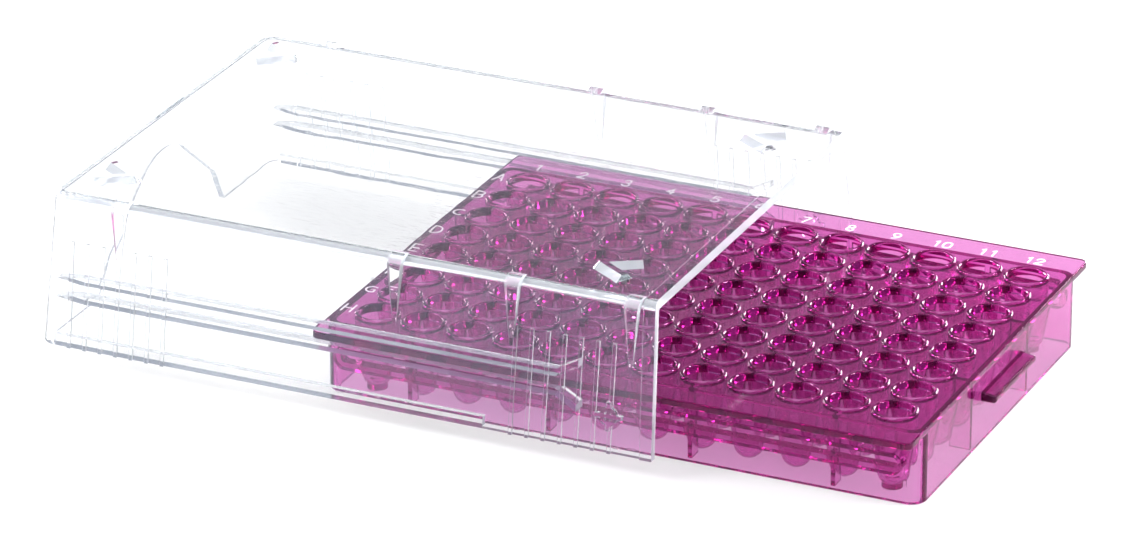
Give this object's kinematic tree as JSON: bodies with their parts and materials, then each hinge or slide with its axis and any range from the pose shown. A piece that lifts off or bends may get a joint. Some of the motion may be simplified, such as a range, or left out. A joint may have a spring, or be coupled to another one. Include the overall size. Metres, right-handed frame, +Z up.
{
  "type": "tube rack",
  "caption": "Transparent rack for thin-walled reaction tubes, with a lettered and numbered well grid and a clear one-piece cover that slides along its flange.",
  "frame": {"origin": "centre of the rack's footprint, on the plane of the skirt's lower rim, where the rack stands", "axes": "+X from column 1 to column 12, the way the cover closes; +Y from row H to row A; +Z up"},
  "size_m": [0.1708, 0.0936, 0.0324],
  "materials": {
    "magenta_plastic": "transparent magenta moulding, polished",
    "clear_plastic": "water-clear moulding, polished",
    "white_ink": "screen-printed ink"
  },
  "bodies": {
    "rack": {"rack_base": "magenta_plastic", "row_letters": "white_ink", "column_numbers": "white_ink"},
    "sliding_cover": {"cover": "clear_plastic"}
  },
  "joints": [
    {"name": "cover_slide", "type": "slide", "parent": "rack", "child": "sliding_cover", "axis": [1, 0, 0], "range_m": [-0.0675, 0.0517]}
  ]
}
